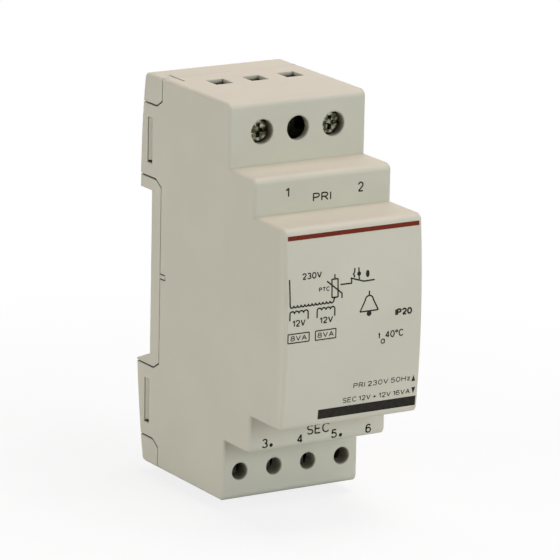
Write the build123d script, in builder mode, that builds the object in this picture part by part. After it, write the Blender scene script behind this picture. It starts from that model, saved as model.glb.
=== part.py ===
from build123d import *
import os
from dataclasses import dataclass

# A bell transformer for a 35 mm rail, two modules wide, in millimetres.
# X runs across the device, Y from the front panel (-) to the rail (+), Z is up.
# The origin is the middle of the rail seat, at half the panel's height.

# Housing
width = 35.0
height = 90.0
top_rise = 0.5
middle_height = 62.0
panel_height = 45.0
block_depth = 33.6
middle_depth = 44.8
panel_depth = 57.6
panel_bow = 1.25
side_wall = 1.5
front_wall = 1.8
step_round = 1.4
edge_chamfer = 0.4

# Seam between the cover and the base, with the cover's latch legs
split_depth = 4.2
seam = 0.15
leg_height = 16.5
leg_centre = 30.35
leg_flare = 1.5
flare_run = 2.5
leg_gap = 0.35
window_height = 10.4
window_width = 2.1
window_start = 0.1
tooth_play = 0.06
tooth_top_play = 0.15
tooth_foot_play = 0.45
tooth_rise = 1.45
pry_notch_width = 1.4
pry_notch_depth = 2.2
tongue_gap = 0.25
top_slit_inset = 3.0
top_slit_width = 0.35
top_slit_depth = 0.6
top_slit_start = -8.6
top_slit_end = -1.7

# Rail seat and the rear outline
rail_width = 35.0
rail_thickness = 1.0
rail_play = 0.3
slot_height = 38.0
jaw_drop = 2.5
jaw_depth = 6.2
crest_depth = 5.5
crest_height = 24.0
rear_top = 3.8
rear_bottom = 3.0
rear_bow = 0.35
rear_round = 1.2
hook_overlap = 1.7
hook_width = 18.0
hook_lead_in = 1.0

# Base
seat_wall = 2.0
rear_skin = 1.6
lip_depth = 3.0
lip_wall = 1.4
fit = 0.1

# Rail clip and its guide in the base
clip_width = 14.0
clip_web_width = 8.4
clip_thickness = 1.6
clip_travel = 3.2
clip_play = 0.15
guide_wall = 1.5
clip_shoulder_drop = 3.4
clip_lug_length = 2.6
clip_lug_thickness = 2.4
clip_web_rise = 0.7
beam_slot_width = 0.8
beam_slot_length = 9.0
beam_thickness = 1.6
detent_length = 1.6
detent_rise = 0.8
detent_drop = 6.0
pull_slot_width = 5.0
pull_slot_height = 1.3

# Terminals
terminal_inset = 6.5
entry_depth = 12.6
cage_height = 6.6
nut_wall = 1.8
cage_play = 0.2
cage_chamfer = 0.6
thread_play = 0.05
bar_thickness = 1.0
bar_slot_play = 0.1
bar_tail = 4.4
pocket_wall = 1.2
pocket_floor = 1.5
pocket_reach = 0.8
chimney_wall = 1.0
entry_rim = 0.9
entry_relief = 0.6
clamp_turns = 6
slot_width = 0.8
slot_depth = 0.9
cross_width = 1.0
cross_span = 0.62
cross_depth = 1.5
head_chamfer = 0.3

primary_pitch = 9.17
primary_hole = 5.6
primary_head = 5.2
primary_head_height = 2.4
primary_head_recess = 1.8
primary_guide = 4.9
primary_thread = 3.5
primary_thread_pitch = 0.6
primary_entry_width = 4.4
primary_entry_length = 4.7
primary_entry_shift = 1.4
primary_cage_width = 7.6
primary_strip = 0.9
primary_bar_width = 5.0

secondary_hole = 4.0
secondary_head = 4.6
secondary_head_height = 2.0
secondary_head_recess = 6.8
secondary_guide = 4.0
secondary_thread = 3.0
secondary_thread_pitch = 0.5
secondary_entry_width = 3.6
secondary_entry_length = 4.2
secondary_entry_shift = 0.0
secondary_cage_width = 5.0
secondary_strip = 0.8
secondary_bar_width = 3.0

# Iron core and winding
core_gap = 0.7
pad_play = 0.2
front_rib = 1.0
rear_rib = 4.8
rib_thickness = 1.4
rib_spacing = 10.0
window_play = 0.4
coil_gap = 0.3
core_play = 0.2
barrel_wall = 0.8
flange = 1.0
flange_chamfer = 1.5
winding_inset = 1.1
winding_play = 0.1
tape_thickness = 0.35
lead_diameter = 1.1
lead_drop = 2.2
lead_rise = 2.2
lead_clear = 0.4
disc_diameter = 6.8
disc_thickness = 2.4
disc_reach = 10.0
disc_leg = 0.8

os.makedirs("parts", exist_ok=True)

# Places worked out from the sizes above
half_width = width / 2
half_height = height / 2
top = half_height + top_rise
inner_half_width = half_width - side_wall
inner_half_height = half_height - front_wall
screw_height = half_height - terminal_inset
secondary_pitch = 2 * (inner_half_width - fit - secondary_cage_width / 2 - cage_play / 2) / 3
leg_depth = split_depth - flare_run


@dataclass
class TerminalRow:
    """One row of rising-cage terminals; side is 1 along the top and -1 along the bottom."""

    name: str
    side: int
    first_number: int
    holes: list
    places: list
    hole: float
    head: float
    head_height: float
    head_recess: float
    guide: float
    thread: float
    thread_pitch: float
    entry_width: float
    entry_length: float
    entry_shift: float
    cage_width: float
    strip: float
    bar_width: float

    def __post_init__(self):
        self.z = self.side * screw_height
        self.end = top if self.side > 0 else half_height
        self.entries = [x + self.entry_shift for x in self.holes]
        self.cages = [x + self.entry_shift / 2 for x in self.places]
        self.bar_rear = -(entry_depth + self.entry_length / 2)
        self.bar_front = self.bar_rear - bar_thickness
        self.cage_front = self.bar_front - cage_play - nut_wall
        self.cage_rear = self.bar_rear + self.entry_length + cage_play / 2 + self.strip
        self.cage_travel = clamp_turns * self.thread_pitch
        self.head_face = -(block_depth - self.head_recess)
        self.head_under = self.head_face + self.head_height
        self.pocket_half = self.cage_width / 2 + cage_play / 2
        self.pocket_front = self.cage_front - self.cage_travel - pocket_reach
        self.floor_top = screw_height - cage_height / 2 - cage_play
        self.floor_under = self.floor_top - pocket_floor
        self.tail_end = self.floor_under - bar_tail
        self.bar_middle = (self.bar_front + self.bar_rear) / 2


primary = TerminalRow(
    "primary",
    1,
    1,
    [-primary_pitch, 0.0, primary_pitch],
    [-primary_pitch, primary_pitch],
    primary_hole,
    primary_head,
    primary_head_height,
    primary_head_recess,
    primary_guide,
    primary_thread,
    primary_thread_pitch,
    primary_entry_width,
    primary_entry_length,
    primary_entry_shift,
    primary_cage_width,
    primary_strip,
    primary_bar_width,
)
secondary_places = [secondary_pitch * step for step in (-1.5, -0.5, 0.5, 1.5)]
secondary = TerminalRow(
    "secondary",
    -1,
    3,
    secondary_places,
    secondary_places,
    secondary_hole,
    secondary_head,
    secondary_head_height,
    secondary_head_recess,
    secondary_guide,
    secondary_thread,
    secondary_thread_pitch,
    secondary_entry_width,
    secondary_entry_length,
    secondary_entry_shift,
    secondary_cage_width,
    secondary_strip,
    secondary_bar_width,
)
rows = [primary, secondary]

# The core fills the room behind the panel: limb, window, double middle limb, window, limb.
# A yoke is as thick as a limb.
core_length = panel_depth - front_wall - front_rib - seat_wall - rear_rib
limb = core_length / 6
core_front = -(panel_depth - front_wall - front_rib)
core_half_height = panel_height / 2 - front_wall - core_gap
window_half_height = core_half_height - limb
leg_middle = core_front + core_length / 2
core_rear = core_front + core_length
coil_build = limb - window_play
stack = 2 * (inner_half_width - coil_gap - coil_build)
bobbin_half_height = window_half_height - core_play
coil_half_x = stack / 2 + coil_build
coil_half_y = limb + coil_build
barrel_half_x = stack / 2 + core_play + barrel_wall
barrel_half_y = limb + core_play + barrel_wall
winding_half_x = coil_half_x - winding_inset


def front_plane(x, y, z):
    """A plane that faces the front, with its origin at a point of the device."""
    return Plane(origin=(x, y, z), x_dir=(1, 0, 0), z_dir=(0, -1, 0))


def stepped_outline(inset, rear, highest):
    """The stepped front seen from the side, drawn in by inset, up to the given rear and top."""
    lowest = inset - half_height
    steps = [
        (inset - block_depth, middle_height / 2 - inset),
        (inset - middle_depth, middle_height / 2 - inset),
        (inset - middle_depth, panel_height / 2 - inset),
        (inset - panel_depth, panel_height / 2 - inset),
    ]
    upper = [(rear, highest), (inset - block_depth, highest), *steps]
    return upper + [(y, -z) for y, z in reversed(steps)] + [(inset - block_depth, lowest), (rear, lowest)]


def bowed_front(inset):
    """The bow of the panel seen from the side, a slice of a large circle, in the sketch that is open."""
    half = panel_height / 2 - inset
    radius = (half**2 + panel_bow**2) / (2 * panel_bow)
    with Locations((radius - panel_bow + inset - panel_depth, 0)):
        Circle(radius)
    with Locations((inset - panel_depth - panel_bow / 2, 0)):
        Rectangle(panel_bow, 2 * half, mode=Mode.INTERSECT)


def leg_outline(side, grow):
    """A latch leg seen from the side: flared where it leaves the cover, open past the rear."""
    beyond = jaw_depth + leg_height
    upper = leg_centre + leg_height / 2 + grow
    lower = leg_centre - leg_height / 2 - grow
    points = [
        (-split_depth, upper + leg_flare),
        (-leg_depth, upper),
        (beyond, upper),
        (beyond, lower),
        (-leg_depth, lower),
        (-split_depth, lower - leg_flare),
    ]
    return [(y, side * z) for y, z in points]


def face_of(points):
    """The closed face of a list of points, in the sketch that is open."""
    Polygon(*points, align=None)


def rectangle_ring(outer_x, outer_y, inner_x, inner_y, outer_round, inner_round):
    """A rounded rectangular ring given by its half sizes, in the sketch that is open."""
    RectangleRounded(2 * outer_x, 2 * outer_y, outer_round)
    RectangleRounded(2 * inner_x, 2 * inner_y, inner_round, mode=Mode.SUBTRACT)


# Rear third of the housing as one block: the base and the cover's legs are both cut from it
with BuildPart() as rear_block:
    with BuildSketch(Plane.YZ):
        with BuildLine():
            Line((-split_depth, -half_height), (-split_depth, top))
            Line((-split_depth, top), (rear_top, top))
            SagittaArc((rear_top, top), (crest_depth, crest_height), rear_bow)
            Line((crest_depth, crest_height), (crest_depth, slot_height / 2))
            Line((crest_depth, slot_height / 2), (0, slot_height / 2))
            Line((0, slot_height / 2), (0, -slot_height / 2))
            Line((0, -slot_height / 2), (jaw_depth, -slot_height / 2 - jaw_drop))
            SagittaArc((jaw_depth, -slot_height / 2 - jaw_drop), (rear_bottom, -half_height), rear_bow)
            Line((rear_bottom, -half_height), (-split_depth, -half_height))
        make_face()
    extrude(amount=half_width, both=True)
    ends = rear_block.edges().filter_by(Axis.X).group_by(Axis.Z)
    fillet(ends[-1].sort_by(Axis.Y)[-1], rear_round)
    fillet(rear_block.edges().filter_by(Axis.X).group_by(Axis.Z)[0].sort_by(Axis.Y)[-1], rear_round)
    flanks = rear_block.faces().sort_by(Axis.X)
    side_edges = flanks[0].edges() + flanks[-1].edges()
    chamfer(
        side_edges.filter_by(lambda edge: abs(edge.center().Z) > slot_height / 2 + jaw_drop),
        edge_chamfer,
    )

# Front cover: a stepped shell that carries the panel, both terminal faces and four latch legs
with BuildPart() as front_cover:
    with BuildSketch(Plane.YZ):
        face_of(stepped_outline(0, -split_depth, top))
    extrude(amount=half_width, both=True)
    with BuildSketch(Plane.YZ):
        bowed_front(0)
    extrude(amount=half_width, both=True)
    corners = front_cover.edges().filter_by(Axis.X)
    for depth in (block_depth, middle_depth, panel_depth):
        at_depth = corners.filter_by(lambda edge: abs(edge.center().Y + depth) < side_wall / 2)
        fillet([at_depth.sort_by(Axis.Z)[0], at_depth.sort_by(Axis.Z)[-1]], step_round)
    flanks = front_cover.faces().sort_by(Axis.X)
    side_edges = flanks[0].edges() + flanks[-1].edges()
    chamfer(side_edges.filter_by(lambda edge: edge.center().Y < -split_depth - seam), edge_chamfer)
    with BuildSketch(Plane.YZ):
        face_of(stepped_outline(front_wall, -split_depth + seam, inner_half_height))
    extrude(amount=inner_half_width, both=True, mode=Mode.SUBTRACT)
    with BuildSketch(Plane.YZ):
        bowed_front(front_wall)
    extrude(amount=inner_half_width, both=True, mode=Mode.SUBTRACT)

    # Latch legs, flush with the rear outline, each with a window for the base's tooth
    for side in (1, -1):
        with BuildPart(mode=Mode.PRIVATE) as leg_pair:
            add(rear_block.part)
            with BuildSketch(Plane.YZ):
                face_of(leg_outline(side, 0))
            extrude(amount=half_width, both=True, mode=Mode.INTERSECT)
            Box(
                2 * inner_half_width,
                4 * panel_depth,
                2 * height,
                mode=Mode.SUBTRACT,
            )
            with BuildSketch(Plane.YZ):
                with Locations((window_start + window_width / 2, side * leg_centre)):
                    Rectangle(window_width, window_height)
            extrude(amount=half_width, both=True, mode=Mode.SUBTRACT)
        add(leg_pair.part)

    # Square chimneys that guide the screwdriver to the screws, round holes, thin-rimmed wire entries
    for row in rows:
        face = block_depth - front_wall
        chimney = max(row.hole, row.head) + 2 * chimney_wall
        with BuildSketch(Plane.XZ.offset(face)):
            with Locations(*[(x, row.z) for x in row.places]):
                Rectangle(chimney, chimney)
            Rectangle(2 * inner_half_width, 2 * inner_half_height, mode=Mode.INTERSECT)
        extrude(amount=-(row.guide - front_wall))
        with BuildSketch(Plane.XZ.offset(block_depth)):
            with Locations(*[(x, row.z) for x in row.holes]):
                Circle(row.hole / 2)
        extrude(amount=-row.guide, mode=Mode.SUBTRACT)
        end_wall = row.end - inner_half_height
        with BuildSketch(Plane.XY.offset(row.side * row.end)):
            with Locations(*[(x, -entry_depth) for x in row.entries]):
                Rectangle(row.entry_width, row.entry_length)
        extrude(amount=-row.side * end_wall, mode=Mode.SUBTRACT)
        with BuildSketch(Plane.XY.offset(row.side * inner_half_height)):
            with Locations(*[(x, -entry_depth) for x in row.entries]):
                Rectangle(row.entry_width + 2 * entry_relief, row.entry_length + 2 * entry_relief)
        extrude(amount=row.side * (end_wall - entry_rim), mode=Mode.SUBTRACT)

    # Ribs that hold the core, on the panel and on the walls above and below it
    with BuildSketch(Plane.XZ.offset(panel_depth - front_wall + panel_bow)):
        with GridLocations(rib_spacing, 1, 2, 1):
            Rectangle(rib_thickness, 2 * core_half_height)
    extrude(amount=-(front_rib + panel_bow))
    pad_rise = panel_height / 2 - front_wall - core_half_height - pad_play
    for side in (1, -1):
        with BuildSketch(Plane.XY.offset(side * (panel_height / 2 - front_wall))):
            with Locations((0, -(panel_depth + middle_depth) / 2)):
                with GridLocations(rib_spacing, 1, 2, 1):
                    Rectangle(rib_thickness, panel_depth - middle_depth - 2 * front_wall)
        extrude(amount=-side * pad_rise)

    # Pry notches at the seam, and the front half of the slit in the top
    with BuildSketch(Plane.YZ):
        with Locations((-split_depth - pry_notch_depth / 2, 0)):
            Rectangle(pry_notch_depth, pry_notch_width)
    extrude(amount=half_width, both=True, mode=Mode.SUBTRACT)
    with BuildSketch(Plane.XY.offset(top)):
        with Locations((top_slit_inset - half_width, (top_slit_start + top_slit_end) / 2)):
            Rectangle(top_slit_width, top_slit_end - top_slit_start)
    extrude(amount=-top_slit_depth, mode=Mode.SUBTRACT)
front_cover.part.label = "front_cover"
export_step(front_cover.part, "parts/front_cover.step")

# Rear base: rail seat and fixed hook behind, locating lip, terminal pockets and core ribs inside
clip_front = -seat_wall + guide_wall
clip_rear = clip_front + clip_play + clip_thickness
guide_half = clip_width / 2 + clip_play
shoulder = -slot_height / 2 - clip_shoulder_drop
detent_top = shoulder - detent_drop
clip_foot = -half_height
with BuildPart() as rear_base:
    add(rear_block.part)
    with BuildSketch(Plane.XZ.offset(split_depth)):
        for hand in (1, -1):
            with Locations((hand * (inner_half_width + half_width) / 2, 0)):
                Rectangle(side_wall, 2 * height)
    extrude(amount=-seam, mode=Mode.SUBTRACT)

    # Recesses that the cover's legs lie in
    for side in (1, -1):
        for hand in (1, -1):
            with BuildSketch(Plane.YZ.offset(hand * (inner_half_width - fit))):
                face_of(leg_outline(side, leg_gap))
            extrude(amount=hand * width, mode=Mode.SUBTRACT)

    # Inside: a shallow tray, cored deeper behind the two terminal rows
    cavity_half_x = inner_half_width - fit - lip_wall
    cavity_half_z = inner_half_height - fit - lip_wall
    with BuildSketch(Plane.XZ.offset(split_depth)):
        Rectangle(2 * cavity_half_x, 2 * cavity_half_z)
    extrude(amount=-(split_depth - seat_wall), mode=Mode.SUBTRACT)
    core_low = slot_height / 2 + seat_wall
    with BuildSketch(Plane.XZ.offset(seat_wall)):
        with Locations((0, (core_low + cavity_half_z) / 2)):
            Rectangle(2 * cavity_half_x, cavity_half_z - core_low)
    extrude(amount=-(seat_wall + rear_top - rear_skin), mode=Mode.SUBTRACT)
    core_inner = guide_half + detent_rise + rear_skin
    jaw_low = slot_height / 2 + jaw_drop + seat_wall
    for hand in (1, -1):
        with BuildSketch(Plane.XZ.offset(seat_wall)):
            with Locations((hand * (core_inner + cavity_half_x) / 2, -(jaw_low + cavity_half_z) / 2)):
                Rectangle(cavity_half_x - core_inner, cavity_half_z - jaw_low)
        extrude(amount=-(seat_wall + rear_bottom - rear_skin), mode=Mode.SUBTRACT)

    # Lip that plugs into the cover
    with BuildSketch(Plane.XZ.offset(seat_wall)):
        Rectangle(2 * (inner_half_width - fit), 2 * (inner_half_height - fit))
        Rectangle(2 * cavity_half_x, 2 * cavity_half_z, mode=Mode.SUBTRACT)
    extrude(amount=split_depth - seat_wall + lip_depth)

    # Tongues that fill the pry notches
    for hand in (1, -1):
        with BuildSketch(Plane.YZ.offset(hand * cavity_half_x)):
            with Locations((-split_depth - (pry_notch_depth - fit) / 2, 0)):
                Rectangle(pry_notch_depth - fit, pry_notch_width - 2 * tongue_gap)
        extrude(amount=hand * (half_width - cavity_half_x))

    # Wedge teeth that snap into the leg windows
    for side in (1, -1):
        with BuildSketch(Plane.XY.offset(side * leg_centre - window_height / 2 + tooth_foot_play)):
            for hand in (1, -1):
                root = hand * (inner_half_width - fit)
                face_of(
                    [
                        (root, window_start + tooth_play),
                        (root + hand * tooth_rise, window_start + window_width - tooth_play),
                        (root, window_start + window_width - tooth_play),
                    ]
                )
        extrude(amount=window_height - tooth_foot_play - tooth_top_play)

    # Fixed hook over the rail's upper edge, with a lead-in
    hook_inner = rail_thickness + rail_play
    hook_tip = rail_width / 2 - hook_overlap
    with BuildSketch(Plane.YZ):
        face_of(
            [
                (hook_inner, slot_height / 2),
                (hook_inner, hook_tip),
                (crest_depth - hook_lead_in, hook_tip),
                (crest_depth, hook_tip + hook_lead_in),
                (crest_depth, slot_height / 2),
            ]
        )
    extrude(amount=hook_width / 2, both=True)

    # Ribs behind the core
    with BuildSketch(Plane.XZ.offset(seat_wall)):
        with GridLocations(rib_spacing, 1, 2, 1):
            Rectangle(rib_thickness, slot_height)
    extrude(amount=-core_rear - seat_wall)

    # Pockets round the cages: side walls and a floor that the busbars pass through
    for row in rows:
        wall_half = (inner_half_height - fit - row.floor_under) / 2
        wall_middle = row.side * (row.floor_under + wall_half)
        pocket_limit = inner_half_width - fit
        wall_start = (rear_top if row.side > 0 else rear_bottom) - rear_skin
        with BuildSketch(Plane.XZ.offset(-wall_start)):
            for x in row.cages:
                with Locations((x, wall_middle)):
                    with GridLocations(2 * row.pocket_half + pocket_wall, 1, 2, 1):
                        Rectangle(pocket_wall, 2 * wall_half)
            with Locations((0, row.side * (row.floor_top - pocket_floor / 2))):
                Rectangle(2 * (row.cages[-1] + row.pocket_half + pocket_wall), pocket_floor)
            Rectangle(2 * pocket_limit, height, mode=Mode.INTERSECT)
        extrude(amount=wall_start - row.pocket_front)
        with BuildSketch(Plane.XY.offset(row.side * row.floor_under)):
            with Locations(*[(x, row.bar_middle) for x in row.cages]):
                Rectangle(row.bar_width + 2 * bar_slot_play, bar_thickness + 2 * bar_slot_play)
        extrude(amount=row.side * pocket_floor, mode=Mode.SUBTRACT)

    # Guide for the rail clip: an open slot with undercut sides and two detent grooves
    with BuildSketch(Plane.XZ.offset(-clip_front)):
        with Locations((0, (-slot_height / 2 - height) / 2)):
            Rectangle(clip_web_width + 2 * clip_play, height - slot_height / 2)
    extrude(amount=-(jaw_depth - clip_front), mode=Mode.SUBTRACT)
    with BuildSketch(Plane.XZ.offset(-clip_front)):
        with Locations((0, (shoulder + clip_play - height) / 2)):
            Rectangle(2 * guide_half, height + shoulder + clip_play)
        groove_length = detent_length + clip_travel + 2 * clip_play
        with Locations((0, detent_top + clip_play - groove_length / 2)):
            Rectangle(2 * (guide_half + detent_rise), groove_length)
    extrude(amount=-(clip_rear - clip_front + clip_play), mode=Mode.SUBTRACT)

    # Rear half of the slit in the top
    with BuildSketch(Plane.XY.offset(top)):
        with Locations((top_slit_inset - half_width, (top_slit_start + top_slit_end) / 2)):
            Rectangle(top_slit_width, top_slit_end - top_slit_start)
    extrude(amount=-top_slit_depth, mode=Mode.SUBTRACT)
rear_base.part.label = "rear_base"
export_step(rear_base.part, "parts/rear_base.step")

# Rail clip: a sliding plate with a hook nose, two sprung side beams and a pull lug
nose_tip = -rail_width / 2 + hook_overlap
nose_root = -slot_height / 2
plate_front = clip_front + clip_play
with BuildPart() as rail_clip:
    with BuildSketch(Plane.XZ.offset(-plate_front)):
        with Locations((0, (shoulder + clip_foot) / 2)):
            Rectangle(clip_width, shoulder - clip_foot)
        with Locations((0, detent_top - detent_length / 2)):
            Rectangle(clip_width + 2 * detent_rise, detent_length)
        with Locations((0, (nose_root + shoulder) / 2)):
            Rectangle(clip_web_width, nose_root - shoulder)
    extrude(amount=-clip_thickness)
    with BuildSketch(Plane.YZ):
        face_of(
            [
                (plate_front + clip_thickness, clip_foot),
                (plate_front + clip_thickness + clip_web_rise, clip_foot),
                (plate_front + clip_thickness + clip_web_rise, shoulder - clip_travel),
                (crest_depth, nose_root - clip_travel),
                (crest_depth, nose_tip - hook_lead_in),
                (crest_depth - hook_lead_in, nose_tip),
                (hook_inner, nose_tip),
                (hook_inner, nose_root),
                (plate_front + clip_thickness, nose_root),
            ]
        )
    extrude(amount=clip_web_width / 2, both=True)
    with BuildSketch(Plane.XZ.offset(-plate_front)):
        with Locations((0, detent_top - detent_length / 2)):
            with GridLocations(clip_width - 2 * beam_thickness - beam_slot_width, 1, 2, 1):
                Rectangle(beam_slot_width, beam_slot_length)
    extrude(amount=-clip_thickness, mode=Mode.SUBTRACT)
    with BuildSketch(Plane.XZ.offset(-plate_front)):
        with Locations((0, clip_foot - clip_lug_length / 2)):
            Rectangle(clip_web_width, clip_lug_length)
            Rectangle(pull_slot_width, pull_slot_height, mode=Mode.SUBTRACT)
    extrude(amount=-clip_lug_thickness)
rail_clip.part.label = "rail_clip"
export_step(rail_clip.part, "parts/rail_clip.step")


def screw(row, number, x):
    """A captive clamping screw: cheese head with a slot and a cross, plain shank for the thread."""
    with BuildPart() as piece:
        with BuildSketch(front_plane(x, row.head_face, row.z)):
            Circle(row.head / 2)
        extrude(amount=-row.head_height)
        chamfer(piece.faces().sort_by(Axis.Y)[0].edges(), head_chamfer)
        with BuildSketch(front_plane(x, row.head_under, row.z)):
            Circle(row.thread / 2)
        extrude(amount=row.bar_front - thread_play - row.head_under, dir=(0, 1, 0))
        with BuildSketch(front_plane(x, row.head_face, row.z)):
            Rectangle(2 * row.head, slot_width)
        extrude(amount=-slot_depth, mode=Mode.SUBTRACT)
        with BuildSketch(front_plane(x, row.head_face, row.z)):
            Rectangle(cross_span * row.head, cross_width)
            Rectangle(cross_width, cross_span * row.head)
        extrude(amount=-cross_depth, mode=Mode.SUBTRACT)
    piece.part.label = f"{row.name}_screw_{number}"
    export_step(piece.part, f"parts/{piece.part.label}.step")


def cage(row, number, x, screw_x):
    """A rising cage: a closed strip loop round the busbar and the wire, tapped for the screw."""
    with BuildPart() as piece:
        with BuildSketch(Plane.XY.offset(row.z - cage_height / 2)) as strip:
            with Locations((x, (row.cage_front + row.cage_rear) / 2)):
                Rectangle(row.cage_width, row.cage_rear - row.cage_front)
            chamfer(strip.vertices(), cage_chamfer)
            with Locations((x, (row.cage_front + nut_wall + row.cage_rear - row.strip) / 2)):
                Rectangle(
                    row.cage_width - 2 * row.strip,
                    row.cage_rear - row.strip - row.cage_front - nut_wall,
                    mode=Mode.SUBTRACT,
                )
        extrude(amount=cage_height)
        with BuildSketch(front_plane(screw_x, row.cage_front, row.z)):
            Circle(row.thread / 2 + thread_play)
        extrude(amount=-nut_wall, mode=Mode.SUBTRACT)
    piece.part.label = f"{row.name}_cage_{number}"
    export_step(piece.part, f"parts/{piece.part.label}.step")


def busbar(row, number, x):
    """A fixed brass bar through the cage, with a solder tail below the pocket's floor."""
    bar_top = screw_height + cage_height / 2 + cage_play
    with BuildPart() as piece:
        with BuildSketch(front_plane(x, row.bar_front, row.side * (bar_top + row.tail_end) / 2)) as blank:
            Rectangle(row.bar_width, bar_top - row.tail_end)
            chamfer(blank.vertices(), bar_thickness / 2)
        extrude(amount=-bar_thickness)
    piece.part.label = f"{row.name}_busbar_{number}"
    export_step(piece.part, f"parts/{piece.part.label}.step")


for row in rows:
    for number, (screw_x, cage_x) in enumerate(zip(row.places, row.cages), row.first_number):
        screw(row, number, screw_x)
        cage(row, number, cage_x, screw_x)
        busbar(row, number, cage_x)

# Iron core: a stack of E laminations closed by a stack of I laminations
with BuildPart() as e_core:
    with BuildSketch(Plane.YZ):
        with Locations((leg_middle, -limb / 2)):
            Rectangle(core_length, 2 * core_half_height - limb)
        for hand in (1, -1):
            with Locations((leg_middle + hand * 1.5 * limb, 0)):
                Rectangle(limb, 2 * window_half_height, mode=Mode.SUBTRACT)
    extrude(amount=stack / 2, both=True)
e_core.part.label = "e_core"
export_step(e_core.part, "parts/e_core.step")

with BuildPart() as i_core:
    with BuildSketch(Plane.YZ):
        with Locations((leg_middle, core_half_height - limb / 2)):
            Rectangle(core_length, limb)
    extrude(amount=stack / 2, both=True)
i_core.part.label = "i_core"
export_step(i_core.part, "parts/i_core.step")

# Bobbin: a square barrel on the middle limb with three flanges, which make two chambers
with BuildPart() as bobbin:
    with BuildSketch(Plane.XY.offset(-bobbin_half_height)) as barrel:
        with Locations((0, leg_middle)):
            Rectangle(2 * barrel_half_x, 2 * barrel_half_y)
        chamfer(barrel.vertices(), barrel_wall)
    extrude(amount=2 * bobbin_half_height)
    for low in (-bobbin_half_height, -flange / 2, bobbin_half_height - flange):
        with BuildSketch(Plane.XY.offset(low)) as flange_blank:
            with Locations((0, leg_middle)):
                Rectangle(2 * coil_half_x, 2 * coil_half_y)
            chamfer(flange_blank.vertices(), flange_chamfer)
        extrude(amount=flange)
    with BuildSketch(Plane.XY.offset(-bobbin_half_height)):
        with Locations((0, leg_middle)):
            Rectangle(2 * (barrel_half_x - barrel_wall), 2 * (barrel_half_y - barrel_wall))
    extrude(amount=2 * bobbin_half_height, mode=Mode.SUBTRACT)
bobbin.part.label = "bobbin"
export_step(bobbin.part, "parts/bobbin.step")

chamber_low = flange / 2 + winding_play
chamber_high = bobbin_half_height - flange - winding_play


def winding(name, side, inner_step, outer_step):
    """A wound ring in one chamber, between two distances out from the bobbin's barrel."""
    low = chamber_low if side > 0 else -chamber_high
    with BuildPart() as piece:
        with BuildSketch(Plane.XY.offset(low)):
            with Locations((0, leg_middle)):
                rectangle_ring(
                    barrel_half_x + outer_step,
                    barrel_half_y + outer_step,
                    barrel_half_x + inner_step,
                    barrel_half_y + inner_step,
                    barrel_wall + outer_step,
                    barrel_wall + inner_step,
                )
        extrude(amount=chamber_high - chamber_low)
    piece.part.label = name
    export_step(piece.part, f"parts/{name}.step")


build_height = winding_half_x - barrel_half_x
taped = build_height + winding_play + tape_thickness
winding("primary_winding", 1, winding_play, build_height)
winding("primary_tape", 1, build_height + winding_play, taped)
winding("secondary_winding_a", -1, winding_play, build_height / 2)
winding("secondary_winding_b", -1, build_height / 2 + winding_play, build_height)
winding("secondary_tape", -1, build_height + winding_play, taped)


def lead(name, row, x, foot_x, foot_y):
    """A wire from a busbar's tail, down beside the core, to the bobbin's end flange."""
    tail = row.side * row.tail_end
    with BuildPart() as piece:
        with BuildLine() as route:
            Polyline(
                (x, row.bar_middle, tail),
                (x, row.bar_middle, tail - row.side * lead_drop),
                (foot_x, foot_y, row.side * (core_half_height + lead_rise)),
                (foot_x, foot_y, row.side * bobbin_half_height),
            )
        with BuildSketch(Plane.XY.offset(tail)):
            with Locations((x, row.bar_middle)):
                Circle(lead_diameter / 2)
        sweep(path=route.wires()[0], transition=Transition.RIGHT)
    piece.part.label = name
    export_step(piece.part, f"parts/{name}.step")


lead_near = stack / 2 + lead_clear + lead_diameter / 2
lead_far = coil_half_x - lead_clear - lead_diameter / 2
lead("primary_lead_1", primary, primary.cages[0], -lead_far, leg_middle + limb / 2)
for number, x in enumerate(secondary.places, secondary.first_number):
    outer = abs(x) > secondary_pitch
    reach = lead_far if outer else lead_near
    depth = leg_middle + limb / 2 if outer else leg_middle
    lead(f"secondary_lead_{number}", secondary, x, reach if x > 0 else -reach, depth)

# Resettable fuse in the primary: a coated disc on two wire legs
disc_x = max(primary.cages[-1], lead_near)
disc_y = primary.bar_middle - disc_reach
disc_z = core_half_height + lead_rise / 2 + disc_diameter / 2
leg_one_z = disc_z + disc_diameter / 6
leg_two_y = disc_y + disc_diameter / 6
with BuildPart() as ptc_thermistor:
    with BuildSketch(Plane.YZ.offset(disc_x - disc_thickness / 2)):
        with Locations((disc_y, disc_z)):
            Circle(disc_diameter / 2)
    extrude(amount=disc_thickness)
    with BuildLine() as first_leg:
        Polyline(
            (primary.cages[-1], primary.bar_middle, primary.tail_end),
            (primary.cages[-1], primary.bar_middle, leg_one_z),
            (disc_x, disc_y, leg_one_z),
        )
    with BuildSketch(Plane.XY.offset(primary.tail_end)):
        with Locations((primary.cages[-1], primary.bar_middle)):
            Circle(disc_leg / 2)
    sweep(path=first_leg.wires()[0], transition=Transition.RIGHT)
    with BuildSketch(Plane.XY.offset(bobbin_half_height)):
        with Locations((disc_x, leg_two_y)):
            Circle(disc_leg / 2)
    extrude(amount=disc_z - bobbin_half_height)
ptc_thermistor.part.label = "ptc_thermistor"
export_step(ptc_thermistor.part, "parts/ptc_thermistor.step")
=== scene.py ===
from math import ceil, cos, dist, pi, radians, sin

import bmesh
import bpy
from mathutils import Matrix, Vector


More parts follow.
